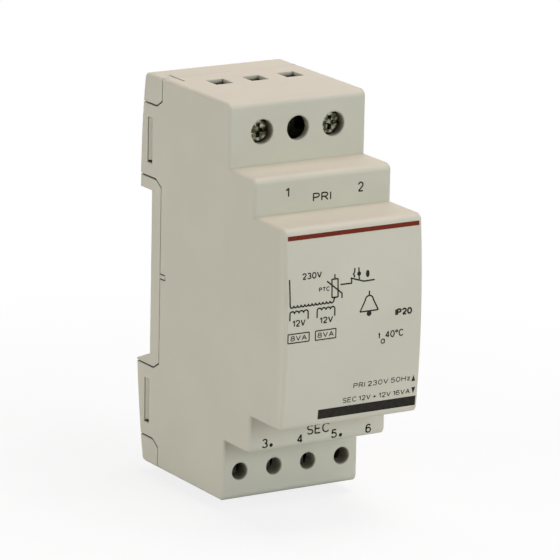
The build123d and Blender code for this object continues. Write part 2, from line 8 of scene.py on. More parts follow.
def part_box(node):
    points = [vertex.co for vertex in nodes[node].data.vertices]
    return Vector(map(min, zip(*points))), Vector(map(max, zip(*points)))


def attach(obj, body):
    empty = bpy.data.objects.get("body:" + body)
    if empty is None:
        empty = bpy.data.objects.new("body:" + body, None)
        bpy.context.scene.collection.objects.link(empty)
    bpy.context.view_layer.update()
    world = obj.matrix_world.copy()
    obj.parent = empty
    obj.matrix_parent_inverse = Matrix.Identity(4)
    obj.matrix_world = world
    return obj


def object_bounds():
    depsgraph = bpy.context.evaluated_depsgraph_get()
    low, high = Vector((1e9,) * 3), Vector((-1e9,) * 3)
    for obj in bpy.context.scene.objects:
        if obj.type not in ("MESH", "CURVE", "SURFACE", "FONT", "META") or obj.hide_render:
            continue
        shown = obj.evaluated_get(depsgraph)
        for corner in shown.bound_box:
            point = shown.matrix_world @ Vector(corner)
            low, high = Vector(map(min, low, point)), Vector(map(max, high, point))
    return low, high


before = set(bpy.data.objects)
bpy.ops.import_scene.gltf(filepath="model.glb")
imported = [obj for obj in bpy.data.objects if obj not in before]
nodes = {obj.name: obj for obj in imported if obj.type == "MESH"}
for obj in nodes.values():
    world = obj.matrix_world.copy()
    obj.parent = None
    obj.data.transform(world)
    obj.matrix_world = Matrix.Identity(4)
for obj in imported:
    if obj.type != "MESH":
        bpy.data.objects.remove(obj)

cad_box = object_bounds()

# Rear base: the moulding that sits on the rail and carries everything else. A warm light-grey
# polycarbonate blend, injection-moulded in a spark-eroded tool that leaves a fine matt grain.
mm = 0.001
housing_shade = (196, 191, 174)
housing_rough = 0.6
noise_low = 0.3
noise_high = 0.7


def shade_of(red, green, blue):
    """A colour as it looks on a screen, from 0 to 255, as linear light."""
    return tuple(((level / 255 + 0.055) / 1.055) ** 2.4 for level in (red, green, blue)) + (1.0,)


def add_node(tree, kind, inputs=None, **settings):
    """A node with its settings made, and each input set to a value or linked to a socket."""
    made = tree.nodes.new(kind)
    for name, value in settings.items():
        setattr(made, name, value)
    for name, value in (inputs or {}).items():
        if isinstance(value, bpy.types.NodeSocket):
            tree.links.new(value, made.inputs[name])
        else:
            made.inputs[name].default_value = value
    return made


def start_material(name):
    """A new material: itself, its tree, its surface shader and the place on the piece in metres."""
    material = bpy.data.materials.new(name)
    material.use_nodes = True
    tree = material.node_tree
    place = add_node(tree, "ShaderNodeTexCoord").outputs["Object"]
    return material, tree, tree.nodes["Principled BSDF"], place


def noise(tree, place, size, detail=2.0):
    """A random pattern whose blotches are about size metres across."""
    pattern = add_node(tree, "ShaderNodeTexNoise", {"Vector": place, "Scale": 1 / size, "Detail": detail})
    return pattern.outputs["Fac"]


def spread(tree, amount, low, high):
    """A random pattern, which is mostly between noise_low and noise_high, made to run from low to high."""
    wider = add_node(
        tree,
        "ShaderNodeMapRange",
        {"Value": amount, "From Min": noise_low, "From Max": noise_high, "To Min": low, "To Max": high},
    )
    return wider.outputs["Result"]


def two_tone(tree, amount, dark, light, start=noise_low, end=noise_high):
    """A colour that goes from dark to light as the amount goes from start to end."""
    ramp = add_node(tree, "ShaderNodeValToRGB", {"Fac": amount})
    first, last = ramp.color_ramp.elements
    first.position, first.color = start, dark
    last.position, last.color = end, light
    return ramp.outputs["Color"]


def multiplied(tree, amount, colour, factor):
    """A colour multiplied by a factor, in full where the amount is 1 and not at all where it is 0."""
    mixed = add_node(
        tree,
        "ShaderNodeMixRGB",
        {"Fac": amount, "Color1": colour, "Color2": factor},
        blend_type="MULTIPLY",
    )
    return mixed.outputs["Color"]


def paint(tree, shader, colour, rough):
    """Gives the surface a pattern of colour and one of roughness."""
    tree.links.new(colour, shader.inputs["Base Color"])
    tree.links.new(rough, shader.inputs["Roughness"])


def emboss(tree, shader, height, depth, normal=None):
    """Relief on the surface, depth metres from its lowest to its highest."""
    bump = add_node(tree, "ShaderNodeBump", {"Height": height, "Distance": depth})
    if normal is not None:
        tree.links.new(normal, bump.inputs["Normal"])
    tree.links.new(bump.outputs["Normal"], shader.inputs["Normal"])
    return bump.outputs["Normal"]


cloud_size = 18 * mm
# Painted shade: where little open space lies around a point, the plastic's colour is darkened, so deep holes
# and narrow gaps look dark.
hole_reach = 8 * mm
painted_shade_colour = (0.06, 0.05, 0.03, 1.0)
hole_light = (1.0, 1.0, 1.0, 1.0)
hole_deepest = 0.05
hole_open = 0.47
grain_size = 0.3 * mm
grain_depth = 0.012 * mm
grain_rough = 0.05
edge_radius = 0.6 * mm
plastic_gloss = 0.25


def moulded_plastic(name, shade, rough, vary=0.025):
    """Grained plastic: slow clouds of tone, painted shade in deep holes, softened edges and eroded grain."""
    material, tree, shader, place = start_material(name)
    tone = shade_of(*shade)
    dark = [level * (1 - vary) for level in tone[:3]] + [1.0]
    light = [level * (1 + vary) for level in tone[:3]] + [1.0]
    clouded = two_tone(tree, noise(tree, place, cloud_size, detail=4.0), dark, light)
    # Painted shade: ambient occlusion darkens the colour in holes, recesses and gaps.
    openness = add_node(tree, "ShaderNodeAmbientOcclusion", {"Distance": hole_reach}, samples=16)
    painted_hole_shade = two_tone(tree, openness.outputs["AO"], painted_shade_colour, hole_light, hole_deepest, hole_open)
    grain = noise(tree, place, grain_size)
    grained = spread(tree, grain, rough - grain_rough, rough + grain_rough)
    paint(tree, shader, multiplied(tree, 1.0, clouded, painted_hole_shade), grained)
    soft_edge = add_node(tree, "ShaderNodeBevel", {"Radius": edge_radius}, samples=6).outputs["Normal"]
    emboss(tree, shader, grain, grain_depth, soft_edge)
    shader.inputs["Specular IOR Level"].default_value = plastic_gloss
    return material


def dress(material, *names):
    """Gives CAD nodes their finish."""
    for name in names:
        nodes[name].data.materials.clear()
        nodes[name].data.materials.append(material)


dress(moulded_plastic("base_plastic", housing_shade, housing_rough), "rear_base")

# Rail clip: the sliding catch below the rail, with two sprung beams and a pull lug.
# Acetal, a touch whiter and slicker than the housing, snapped into the base's undercut guide.
clip_shade = (214, 211, 200)
clip_rough = 0.38
dress(moulded_plastic("clip_plastic", clip_shade, clip_rough), "rail_clip")

# Busbars: the fixed bars that the wires are clamped against. Stamped from rolled brass strip,
# so fine rolling lines run along the bar; pushed through the floors of the base's pockets.
terminal_rows = {"primary": (1, 2), "secondary": (3, 4, 5, 6)}
rolling_size = 0.2 * mm
rolling_depth = 0.006 * mm
rolling_stretch = (1.0, 1.0, 0.04)
tarnish_size = 4 * mm
dull_brass = shade_of(168, 130, 70)
bright_brass = shade_of(206, 172, 104)
brass_rough = (0.24, 0.42)


def terminal_nodes(kind):
    """The names of all six nodes of one kind, such as busbar or cage."""
    return [f"{row}_{kind}_{number}" for row, numbers in terminal_rows.items() for number in numbers]


material, tree, shader, place = start_material("busbar_brass")
drawn_out = add_node(tree, "ShaderNodeMapping", {"Vector": place, "Scale": rolling_stretch}).outputs["Vector"]
rolling = noise(tree, drawn_out, rolling_size, detail=3.0)
tarnish = noise(tree, place, tarnish_size, detail=3.0)
paint(tree, shader, two_tone(tree, tarnish, dull_brass, bright_brass), spread(tree, rolling, *brass_rough))
emboss(tree, shader, rolling, rolling_depth)
shader.inputs["Metallic"].default_value = 1.0
dress(material, *terminal_nodes("busbar"))

# Rising cages: each a steel strip folded round its busbar and tapped for its screw.
# Zinc-plated, with the dull spangle of barrel plating; it slides in its pocket of the base.
spangle_size = 0.9 * mm
strip_grain = 0.25 * mm
strip_depth = 0.006 * mm
dark_zinc = shade_of(148, 150, 150)
pale_zinc = shade_of(186, 188, 186)
zinc_rough = (0.34, 0.5)
material, tree, shader, place = start_material("cage_zinc")
spangle = noise(tree, place, spangle_size, detail=4.0)
paint(tree, shader, two_tone(tree, spangle, dark_zinc, pale_zinc), spread(tree, spangle, *zinc_rough))
emboss(tree, shader, noise(tree, place, strip_grain), strip_depth)
shader.inputs["Metallic"].default_value = 1.0
dress(material, *terminal_nodes("cage"))

# Terminal screws: cheese heads with a slot and a cross, kept in the square chimneys of the cover.
# Turned and zinc-plated steel, so the head shows fine rings about its axis and the shank a rolled thread.
thread_pitches = {"primary": 0.6 * mm, "secondary": 0.5 * mm}
thread_depth = 0.2 * mm
head_height = 2.4 * mm
wave_length_at_unit_scale = pi / 10
ring_scale = 900.0
ring_depth = 0.008 * mm
plating_size = 1.1 * mm
# Painted reflection and glints: a dark olive stands in for the dark surroundings the heads reflect, and pale
# patches are painted glints.
painted_dark_reflection = shade_of(62, 60, 42)
painted_glint = shade_of(158, 155, 134)
plating_rough = (0.26, 0.42)


def coordinate(tree, place, letter):
    """One coordinate of a place: X, Y or Z."""
    return add_node(tree, "ShaderNodeSeparateXYZ", {"Vector": place}).outputs[letter]


def calculate(tree, operation, *amounts):
    """The result of a calculation on one or two amounts."""
    return add_node(tree, "ShaderNodeMath", dict(enumerate(amounts)), operation=operation).outputs["Value"]


def screw_steel(name, low, high, pitch):
    """Plated steel with turned rings round the screw's axis and a thread of that pitch on its shank."""
    material, tree, shader, place = start_material(name)
    # Painted light: the steel is coloured mostly dark, for the dark room it reflects, with a few pale patches
    # as painted glints.
    plating = noise(tree, place, plating_size, detail=3.0)
    plated = two_tone(tree, plating, painted_dark_reflection, painted_glint, start=0.46, end=0.68)
    paint(tree, shader, plated, spread(tree, plating, *plating_rough))
    centre = (low + high) / 2
    from_centre = add_node(tree, "ShaderNodeVectorMath", {0: place, 1: centre}, operation="SUBTRACT")
    rings = add_node(
        tree,
        "ShaderNodeTexWave",
        {"Vector": from_centre.outputs["Vector"], "Scale": ring_scale, "Distortion": 0.4, "Detail": 1.0},
        wave_type="RINGS",
        rings_direction="Y",
    ).outputs["Fac"]
    turned = emboss(tree, shader, rings, ring_depth)
    thread = add_node(
        tree,
        "ShaderNodeTexWave",
        {"Vector": from_centre.outputs["Vector"], "Scale": wave_length_at_unit_scale / pitch},
        wave_type="BANDS",
        bands_direction="Y",
        wave_profile="TRI",
    ).outputs["Fac"]
    on_shank = calculate(tree, "GREATER_THAN", coordinate(tree, place, "Y"), low.y + head_height)
    emboss(tree, shader, calculate(tree, "MULTIPLY", thread, on_shank), thread_depth, turned)
    shader.inputs["Metallic"].default_value = 1.0
    return material


for row, numbers in terminal_rows.items():
    for number in numbers:
        name = f"{row}_screw_{number}"
        low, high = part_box(name)
        dress(screw_steel(f"screw_steel_{number}", low, high, thread_pitches[row]), name)

# Iron core: E and I laminations of silicon steel, half a millimetre thick, stacked in pairs across the
# device. Punched edges show as fine lines; the faces keep the blue-grey oxide of annealing.
lamination = 0.5 * mm
edge_width = lamination / 5
edge_depth = 0.04 * mm
oxide_size = 6 * mm
dark_oxide = shade_of(58, 62, 70)
pale_oxide = shade_of(92, 94, 98)
oxide_rough = (0.42, 0.6)
material, tree, shader, place = start_material("core_laminations")
in_pair = calculate(tree, "PINGPONG", coordinate(tree, place, "X"), lamination)
edge = add_node(tree, "ShaderNodeMapRange", {"Value": in_pair, "From Max": edge_width}).outputs["Result"]
oxide = noise(tree, place, oxide_size, detail=4.0)
paint(tree, shader, two_tone(tree, oxide, dark_oxide, pale_oxide), spread(tree, oxide, *oxide_rough))
emboss(tree, shader, edge, edge_depth)
shader.inputs["Metallic"].default_value = 0.8
dress(material, "e_core", "i_core")

# Bobbin: the two-chamber coil former on the core's middle limb.
# Black glass-filled nylon, as matt as the housing, with the fibres showing as a cloudy tone.
nylon_shade = (44, 45, 46)
nylon_rough = 0.6
nylon_vary = 0.12
dress(moulded_plastic("bobbin_nylon", nylon_shade, nylon_rough, nylon_vary), "bobbin")

# Windings: enamelled copper laid on the bobbin, fine wire in the primary and thicker in the two
# secondaries. Each turn is a round ridge along the coil; the enamel gives the copper its brown gloss.
wire_sizes = {"primary_winding": 0.16 * mm, "secondary_winding_a": 0.7 * mm, "secondary_winding_b": 0.7 * mm}
enamel_size = 2 * mm
painted_groove_shade = shade_of(96, 44, 20)
painted_crest_highlight = shade_of(190, 104, 58)
copper_rough = (0.22, 0.36)
for name, wire in wire_sizes.items():
    material, tree, shader, place = start_material(f"{name}_copper")
    turns = calculate(tree, "MULTIPLY", coordinate(tree, place, "Z"), pi / wire)
    ridge = calculate(tree, "ABSOLUTE", calculate(tree, "SINE", turns))
    # Painted light: each turn is coloured bright along its crest and shaded in the groove between turns.
    copper = two_tone(tree, ridge, painted_groove_shade, painted_crest_highlight, start=0.1, end=0.9)
    paint(tree, shader, copper, spread(tree, noise(tree, place, enamel_size), *copper_rough))
    emboss(tree, shader, ridge, wire / 2)
    shader.inputs["Metallic"].default_value = 0.9
    dress(material, name)

# Tapes: a few turns of yellow polyester film over each chamber's winding.
# Glossy, a little cloudy and uneven where the adhesive has wetted out.
wetting_size = 3 * mm
wetting_depth = 0.04 * mm
dark_film = shade_of(196, 158, 42)
pale_film = shade_of(226, 192, 76)
film_rough = (0.18, 0.34)
material, tree, shader, place = start_material("winding_tape")
wetting = noise(tree, place, wetting_size, detail=3.0)
paint(tree, shader, two_tone(tree, wetting, dark_film, pale_film), spread(tree, wetting, *film_rough))
emboss(tree, shader, wetting, wetting_depth)
dress(material, "primary_tape", "secondary_tape")

# Leads: stranded wires in soft vinyl, soldered to the busbars' tails and to the bobbin's end flange.
# The skin is slightly glossy and uneven, as extruded.
skin_size = 1.2 * mm
skin_depth = 0.03 * mm
dark_vinyl = shade_of(38, 40, 44)
pale_vinyl = shade_of(54, 56, 60)
vinyl_rough = (0.36, 0.48)
material, tree, shader, place = start_material("lead_vinyl")
skin = noise(tree, place, skin_size)
paint(tree, shader, two_tone(tree, skin, dark_vinyl, pale_vinyl), spread(tree, skin, *vinyl_rough))
emboss(tree, shader, skin, skin_depth)
dress(material, "primary_lead_1", *[f"secondary_lead_{number}" for number in terminal_rows["secondary"]])

# Resettable fuse: a ceramic disc dipped in ochre lacquer, on two legs of tinned copper wire.
# The lacquer is glossy and slightly lumpy; it stops where the legs leave the disc.
lump_size = 1.5 * mm
lump_depth = 0.06 * mm
face_slack = 0.01 * mm
lacquer_margin = 1.2 * mm
ochre_lacquer = shade_of(184, 136, 46)
tinned_copper = shade_of(190, 190, 186)
lacquer_rough = (0.2, 0.32)
fuse_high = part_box("ptc_thermistor")[1]
fuse_corners = [corner.co for corner in nodes["ptc_thermistor"].data.vertices]
disc_face = [corner for corner in fuse_corners if corner.x > fuse_high.x - face_slack]
disc_centre = sum(disc_face, Vector()) / len(disc_face)
disc_reach = max((corner - disc_centre).length for corner in disc_face) + lacquer_margin
material, tree, shader, place = start_material("fuse_lacquer")
lumps = noise(tree, place, lump_size)
from_disc = add_node(tree, "ShaderNodeVectorMath", {0: place, 1: disc_centre}, operation="DISTANCE")
bare_leg = calculate(tree, "GREATER_THAN", from_disc.outputs["Value"], disc_reach)
dipped = two_tone(tree, bare_leg, ochre_lacquer, tinned_copper, start=0.0, end=1.0)
paint(tree, shader, dipped, spread(tree, lumps, *lacquer_rough))
tree.links.new(bare_leg, shader.inputs["Metallic"])
emboss(tree, shader, lumps, lump_depth)
dress(material, "ptc_thermistor")

# Front cover: the stepped shell that snaps over the base with four latch legs. Moulded from the same
# grey as the base; its bowed panel is painted a shade lighter, as painted light for the light it catches.
painted_panel_light = (1.06, 1.045, 1.04, 1.0)
panel_front_y = cad_box[0].y + 1.85 * mm
panel_edge_y = panel_front_y + 2 * mm
cover_plastic = moulded_plastic("cover_plastic", housing_shade, housing_rough)
tree = cover_plastic.node_tree
shader = tree.nodes["Principled BSDF"]
place = add_node(tree, "ShaderNodeTexCoord").outputs["Object"]
on_panel = add_node(
    tree,
    "ShaderNodeMapRange",
    {"Value": coordinate(tree, place, "Y"), "From Min": panel_edge_y, "From Max": panel_front_y},
).outputs["Result"]
moulded_colour = shader.inputs["Base Color"].links[0].from_socket
# Painted light: the panel's colour is lifted a little, for the extra light it catches over the steps.
tree.links.new(multiplied(tree, on_panel, moulded_colour, painted_panel_light), shader.inputs["Base Color"])
dress(cover_plastic, "front_cover")

# Print: pad-printed marks on the panel and on the two steps, in black and red ink.
# Each mark is a thin film of ink that follows the surface it lies on.
ink_film = 0.03 * mm
ink_sunk = 0.01 * mm
ink_patch = 0.6 * mm
ink_thinning = 14
ink_rough = (0.45, 0.6)
ink_gloss = 0.1


def ink(name, shade):
    """Matt printing ink, a little thin and uneven in places."""
    material, tree, shader, place = start_material(name)
    patches = noise(tree, place, ink_patch, detail=3.0)
    full = shade_of(*shade)
    thin = shade_of(*[level + ink_thinning for level in shade])
    uneven = two_tone(tree, patches, full, thin, start=0.4, end=0.8)
    paint(tree, shader, uneven, spread(tree, patches, *ink_rough))
    shader.inputs["Specular IOR Level"].default_value = ink_gloss
    return material


black_ink = ink("black_ink", (34, 30, 24))
red_ink = ink("red_ink", (104, 30, 8))


def front_of_cover(x, z):
    """How far forward the cover's surface stands at a place seen from the front."""
    _, place, _, _ = nodes["front_cover"].ray_cast((x, -1.0, z), (0.0, 1.0, 0.0))
    return place.y


def printed(name, mesh, colour):
    """Makes a mesh a printed mark on the housing."""
    mesh.materials.clear()
    mesh.materials.append(colour)
    mark = bpy.data.objects.new(name, mesh)
    bpy.context.scene.collection.objects.link(mark)
    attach(mark, "housing")


def lay_on_front(mesh):
    """Sets a flat mesh, drawn in X and Y and raised along Z, on the cover's front, point by point."""
    for corner in mesh.vertices:
        x, z, rise = corner.co
        corner.co = (x, front_of_cover(x, z) - rise, z)


def band(name, left, right, low, high, colour, columns=48):
    """A straight band of ink, given in millimetres, that follows the cover's bow and its bevelled edge."""
    mesh = bpy.data.meshes.new(name)
    shape = bmesh.new()
    levels = (ink_film - ink_sunk, -ink_sunk)
    sections = []
    for step in range(columns + 1):
        x = left + (right - left) * step / columns
        places = [(x * mm, z * mm, level) for level in levels for z in (low, high)]
        sections.append([shape.verts.new(place) for place in places])
    around = (0, 1, 3, 2)
    for here, there in zip(sections, sections[1:]):
        for a, b in zip(around, around[1:] + around[:1]):
            shape.faces.new((here[a], there[a], there[b], here[b]))
    shape.faces.new([sections[0][k] for k in around])
    shape.faces.new([sections[-1][k] for k in around[::-1]])
    bmesh.ops.recalc_face_normals(shape, faces=shape.faces)
    shape.to_mesh(mesh)
    lay_on_front(mesh)
    printed(name, mesh, colour)


band("red_stripe", left=-16.77, right=17.47, low=20.03, high=21.03, colour=red_ink)
band("black_bar", left=-8.25, right=17.4, low=-20.88, high=-18.68, colour=black_ink)


def ink_strokes():
    """A tree that draws ink of one width along every line of a flat drawing."""
    tree = bpy.data.node_groups.new("ink_strokes", "GeometryNodeTree")
    for name, kind in (
        ("Drawing", "NodeSocketGeometry"),
        ("Line width", "NodeSocketFloat"),
        ("Corner radius", "NodeSocketFloat"),
        ("Film", "NodeSocketFloat"),
        ("Ink", "NodeSocketMaterial"),
    ):
        tree.interface.new_socket(name, in_out="INPUT", socket_type=kind)
    tree.interface.new_socket("Print", in_out="OUTPUT", socket_type="NodeSocketGeometry")
    given = add_node(tree, "NodeGroupInput").outputs
    eased = add_node(
        tree,
        "GeometryNodeFilletCurve",
        {"Curve": given["Drawing"], "Count": 3, "Radius": given["Corner radius"], "Limit Radius": True},
        mode="POLY",
    )
    nib = add_node(
        tree,
        "GeometryNodeCurvePrimitiveQuadrilateral",
        {"Width": given["Line width"], "Height": given["Film"]},
    )
    drawn = add_node(
        tree,
        "GeometryNodeCurveToMesh",
        {"Curve": eased.outputs["Curve"], "Profile Curve": nib.outputs["Curve"], "Fill Caps": True},
    )
    plain = add_node(tree, "GeometryNodeRealizeInstances", {"Geometry": drawn.outputs["Mesh"]})
    inked = add_node(
        tree, "GeometryNodeSetMaterial", {"Geometry": plain.outputs["Geometry"], "Material": given["Ink"]}
    )
    add_node(tree, "NodeGroupOutput", {"Print": inked.outputs["Geometry"]})
    return tree


stroke_tree = ink_strokes()


def close_points(line, reach=0.3):
    """A line with points added along it, so that it can bend with the surface."""
    points = line[:1]
    for (x, z), (next_x, next_z) in zip(line, line[1:]):
        steps = max(1, ceil(dist((x, z), (next_x, next_z)) / reach))
        points += [(x + (next_x - x) * k / steps, z + (next_z - z) * k / steps) for k in range(1, steps + 1)]
    return points


def line_drawing(name, lines, width):
    """Prints lines, given in millimetres, on the cover's front."""
    curve = bpy.data.curves.new(name, "CURVE")
    curve.dimensions = "3D"
    curve.twist_mode = "Z_UP"
    for line in map(close_points, lines):
        spline = curve.splines.new("POLY")
        spline.points.add(len(line) - 1)
        for point, (x, z) in zip(spline.points, line):
            point.co = (x * mm, z * mm, ink_film / 2 - ink_sunk, 1.0)
    drawing = bpy.data.objects.new(name, curve)
    bpy.context.scene.collection.objects.link(drawing)
    strokes = drawing.modifiers.new("strokes", "NODES")
    strokes.node_group = stroke_tree
    values = {"Line width": width * mm, "Corner radius": width * mm / 3, "Film": ink_film, "Ink": black_ink}
    for socket in stroke_tree.interface.items_tree:
        if socket.name in values:
            strokes[socket.identifier] = values[socket.name]
    mesh = bpy.data.meshes.new_from_object(drawing.evaluated_get(bpy.context.evaluated_depsgraph_get()))
    bpy.data.objects.remove(drawing)
    lay_on_front(mesh)
    printed(name, mesh, black_ink)


arc_step = 22
arc_fewest = 4


def arc(x, z, half_width, half_height, start, end):
    """Points along an oval round x and z, from one angle to another in degrees."""
    steps = max(arc_fewest, round(abs(end - start) / arc_step))
    angles = [radians(start + (end - start) * k / steps) for k in range(steps + 1)]
    return [(x + half_width * cos(angle), z + half_height * sin(angle)) for angle in angles]


# Each sign is a list of pen strokes on a cell one unit high.
signs = {
    "0": [arc(0.3, 0.5, 0.3, 0.5, 90, 450)],
    "1": [[(0.0, 0.74), (0.28, 1.0)], [(0.28, 1.0), (0.28, 0.0)]],
    "2": [[*arc(0.3, 0.71, 0.29, 0.29, 170, -38), (0.0, 0.0), (0.6, 0.0)]],
    "3": [[*arc(0.27, 0.76, 0.25, 0.24, 160, -90), *arc(0.27, 0.26, 0.29, 0.26, 90, -165)]],
    "4": [[(0.64, 0.25), (0.0, 0.25), (0.47, 1.0)], [(0.47, 1.0), (0.47, 0.0)]],
    "5": [[(0.54, 1.0), (0.1, 1.0), (0.04, 0.5), *arc(0.28, 0.32, 0.3, 0.32, 130, -160)]],
    "6": [[*arc(0.32, 0.55, 0.32, 0.45, 40, 180), *arc(0.3, 0.31, 0.3, 0.31, 180, 540)]],
    "8": [arc(0.3, 0.76, 0.25, 0.24, 90, 450), arc(0.3, 0.26, 0.3, 0.26, 90, 450)],
    "A": [[(0.0, 0.0), (0.34, 1.0)], [(0.34, 1.0), (0.68, 0.0)], [(0.12, 0.33), (0.56, 0.33)]],
    "C": [arc(0.38, 0.5, 0.38, 0.5, 42, 318)],
    "E": [[(0.56, 1.0), (0.0, 1.0), (0.0, 0.0), (0.58, 0.0)], [(0.0, 0.52), (0.5, 0.52)]],
    "H": [[(0.0, 0.0), (0.0, 1.0)], [(0.62, 0.0), (0.62, 1.0)], [(0.0, 0.52), (0.62, 0.52)]],
    "I": [[(0.0, 0.0), (0.0, 1.0)]],
    "P": [[(0.0, 0.0), (0.0, 1.0), *arc(0.3, 0.74, 0.28, 0.26, 90, -90), (0.0, 0.48)]],
    "R": [
        [(0.0, 0.0), (0.0, 1.0), *arc(0.3, 0.74, 0.28, 0.26, 90, -90), (0.0, 0.48)],
        [(0.32, 0.48), (0.62, 0.0)],
    ],
    "S": [[*arc(0.3, 0.75, 0.28, 0.25, 25, 270), *arc(0.3, 0.25, 0.3, 0.25, 90, -155)]],
    "T": [[(0.0, 1.0), (0.62, 1.0)], [(0.31, 1.0), (0.31, 0.0)]],
    "V": [[(0.0, 1.0), (0.33, 0.0)], [(0.33, 0.0), (0.66, 1.0)]],
    "a": [arc(0.24, 0.34, 0.24, 0.34, 0, 360), [(0.48, 0.68), (0.48, 0.0)]],
    "t": [[(0.16, 1.0), (0.16, 0.0)], [(0.0, 0.68), (0.32, 0.68)]],
    "z": [[(0.0, 0.68), (0.46, 0.68), (0.0, 0.0), (0.48, 0.0)]],
    "+": [[(0.3, 0.12), (0.3, 0.72)], [(0.0, 0.42), (0.6, 0.42)]],
    "°": [arc(0.17, 0.84, 0.17, 0.16, 90, 450)],
}
sign_gap = 0.26
word_gap = 0.5


def lettering(name, words, left, right, low, high, width):
    """Words drawn in strokes and fitted into a box on the cover's front, given in millimetres."""
    reach = 0.0
    placed = []
    for sign in words:
        if sign == " ":
            reach += word_gap - sign_gap
            continue
        placed += [[(reach + x, z) for x, z in stroke] for stroke in signs[sign]]
        reach = max(x for stroke in placed for x, _ in stroke) + sign_gap
    across = (right - left - width) / max(reach - sign_gap, sign_gap)
    up = high - low - width
    start_x = left + width / 2
    start_z = low + width / 2
    lines = [[(start_x + x * across, start_z + z * up) for x, z in stroke] for stroke in placed]
    line_drawing(name, lines, width)


number_line = 0.34
row_line = 0.32
volt_line = 0.27
small_line = 0.2
bold_line = 0.38
ambient_line = 0.25
rating_line = 0.18

# Each label has its words, its left, right, low and high edges in millimetres, and its line's width.
labels = {
    "terminal_number_1": ("1", -9.65, -8.7, 26.15, 28.35, number_line),
    "terminal_number_2": ("2", 8.85, 10.38, 25.45, 27.75, number_line),
    "primary_label": ("PRI", -2.65, 2.05, 24.45, 26.45, row_line),
    "terminal_number_3": ("3", -14.4, -12.9, -30.15, -27.95, number_line),
    "terminal_number_4": ("4", -5.45, -3.85, -30.25, -28.1, number_line),
    "secondary_label": ("SEC", -2.9, 2.95, -28.6, -26.3, row_line),
    "terminal_number_5": ("5", 3.45, 4.98, -30.25, -28.15, number_line),
    "terminal_number_6": ("6", 12.42, 13.94, -30.25, -28.1, number_line),
    "primary_volts": ("230V", -13.4, -8.4, 11.23, 12.7, volt_line),
    "fuse_label": ("PTC", -9.15, -6.45, 8.13, 9.11, small_line),
    "secondary_volts_a": ("12V", -15.86, -12.5, 1.05, 2.58, volt_line),
    "secondary_volts_b": ("12V", -8.96, -5.51, 1.0, 2.48, volt_line),
    "secondary_power_a": ("8VA", -16.25, -12.1, -2.1, -0.9, small_line),
    "secondary_power_b": ("8VA", -9.4, -5.25, -2.13, -0.93, small_line),
    "protection": ("IP20", 10.47, 14.85, 0.46, 2.06, bold_line),
    "ambient_sign": ("t", 6.15, 6.9, -4.3, -2.7, ambient_line),
    "ambient_index": ("a", 6.9, 8.0, -5.5, -3.85, ambient_line),
    "temperature": ("40°C", 8.0, 12.75, -4.3, -2.65, volt_line),
    "rating_primary": ("PRI 230V 50Hz", 0.45, 15.25, -14.88, -13.68, rating_line),
    "rating_secondary": ("SEC 12V + 12V 16VA", -2.1, 15.3, -17.97, -16.77, rating_line),
}
for name, (words, left, right, low, high, width) in labels.items():
    lettering(name, words, left, right, low, high, width)


def bumps(left, right, z, count, rise):
    """The half-round loops of a coil's symbol, side by side between two places."""
    pitch = (right - left) / count
    return [arc(left + pitch * (k + 0.5), z, pitch / 2, rise, 180, 0) for k in range(count)]


def secondary_coil(left, right, top, foot, count, rise):
    """A secondary's symbol: its loops and a leg at each end."""
    return [[(left, foot), (left, top)], *bumps(left, right, top, count, rise), [(right, top), (right, foot)]]


def frame_line(left, right, low, high):
    """A rectangle drawn as one closed line."""
    middle = (left + right) / 2
    return [(middle, high), (right, high), (right, low), (left, low), (left, high), (middle, high)]


diagram_line = 0.33
primary_feed = [(-16.56, 11.63), (-16.42, 5.7)]
primary_coil = bumps(left=-16.42, right=-5.42, z=5.85, count=12, rise=-0.5)
coil_a = secondary_coil(left=-16.47, right=-11.87, top=4.0, foot=2.5, count=4, rise=0.56)
coil_b = secondary_coil(left=-9.59, right=-5.1, top=3.98, foot=2.38, count=4, rise=0.54)
fuse_body = frame_line(left=-5.86, right=-4.31, low=6.5, high=10.55)
fuse_feed = [(-5.11, 11.63), (-5.1, 10.55)]
fuse_foot = [(-5.15, 6.5), (-5.42, 5.75)]
fuse_slash = [(-7.11, 10.3), (-3.29, 7.2), (-3.31, 6.11)]
button_feed = [(-3.69, 9.17), (-0.84, 9.12), (-0.86, 10.2)]
button_arm = [(-1.11, 10.3), (2.31, 9.22), (5.06, 9.27)]
button_spring = [(0.0, 12.4), (-0.04, 11.55), (-0.42, 11.1), (-0.04, 10.65), (-0.3, 10.35)]
button_stem = [(1.01, 12.42), (1.12, 9.76)]
bell_x = 3.71
bell_low = 2.42
bell_top = 5.87
lip_half = 2.35
crown_half = 1.0
crown_rise = 0.9
bell_stem = [(bell_x, 6.92), (bell_x, bell_top)]
bell_crown = arc(bell_x, bell_top - crown_rise, crown_half, crown_rise, 180, 0)
bell = [(bell_x - lip_half, bell_low), *bell_crown, (bell_x + lip_half, bell_low)]
bell_lip = [bell[0], bell[-1]]
line_drawing(
    "wiring_diagram",
    [
        primary_feed,
        *primary_coil,
        *coil_a,
        *coil_b,
        fuse_body,
        fuse_feed,
        fuse_foot,
        fuse_slash,
        button_feed,
        button_arm,
        button_spring,
        button_stem,
        bell_stem,
        bell,
        bell_lip,
    ],
    diagram_line,
)

power_line = 0.26
power_frame_a = frame_line(left=-16.86, right=-11.51, low=-2.5, high=-0.49)
power_frame_b = frame_line(left=-9.91, right=-4.71, low=-2.57, high=-0.5)
line_drawing("power_frames", [power_frame_a, power_frame_b], power_line)


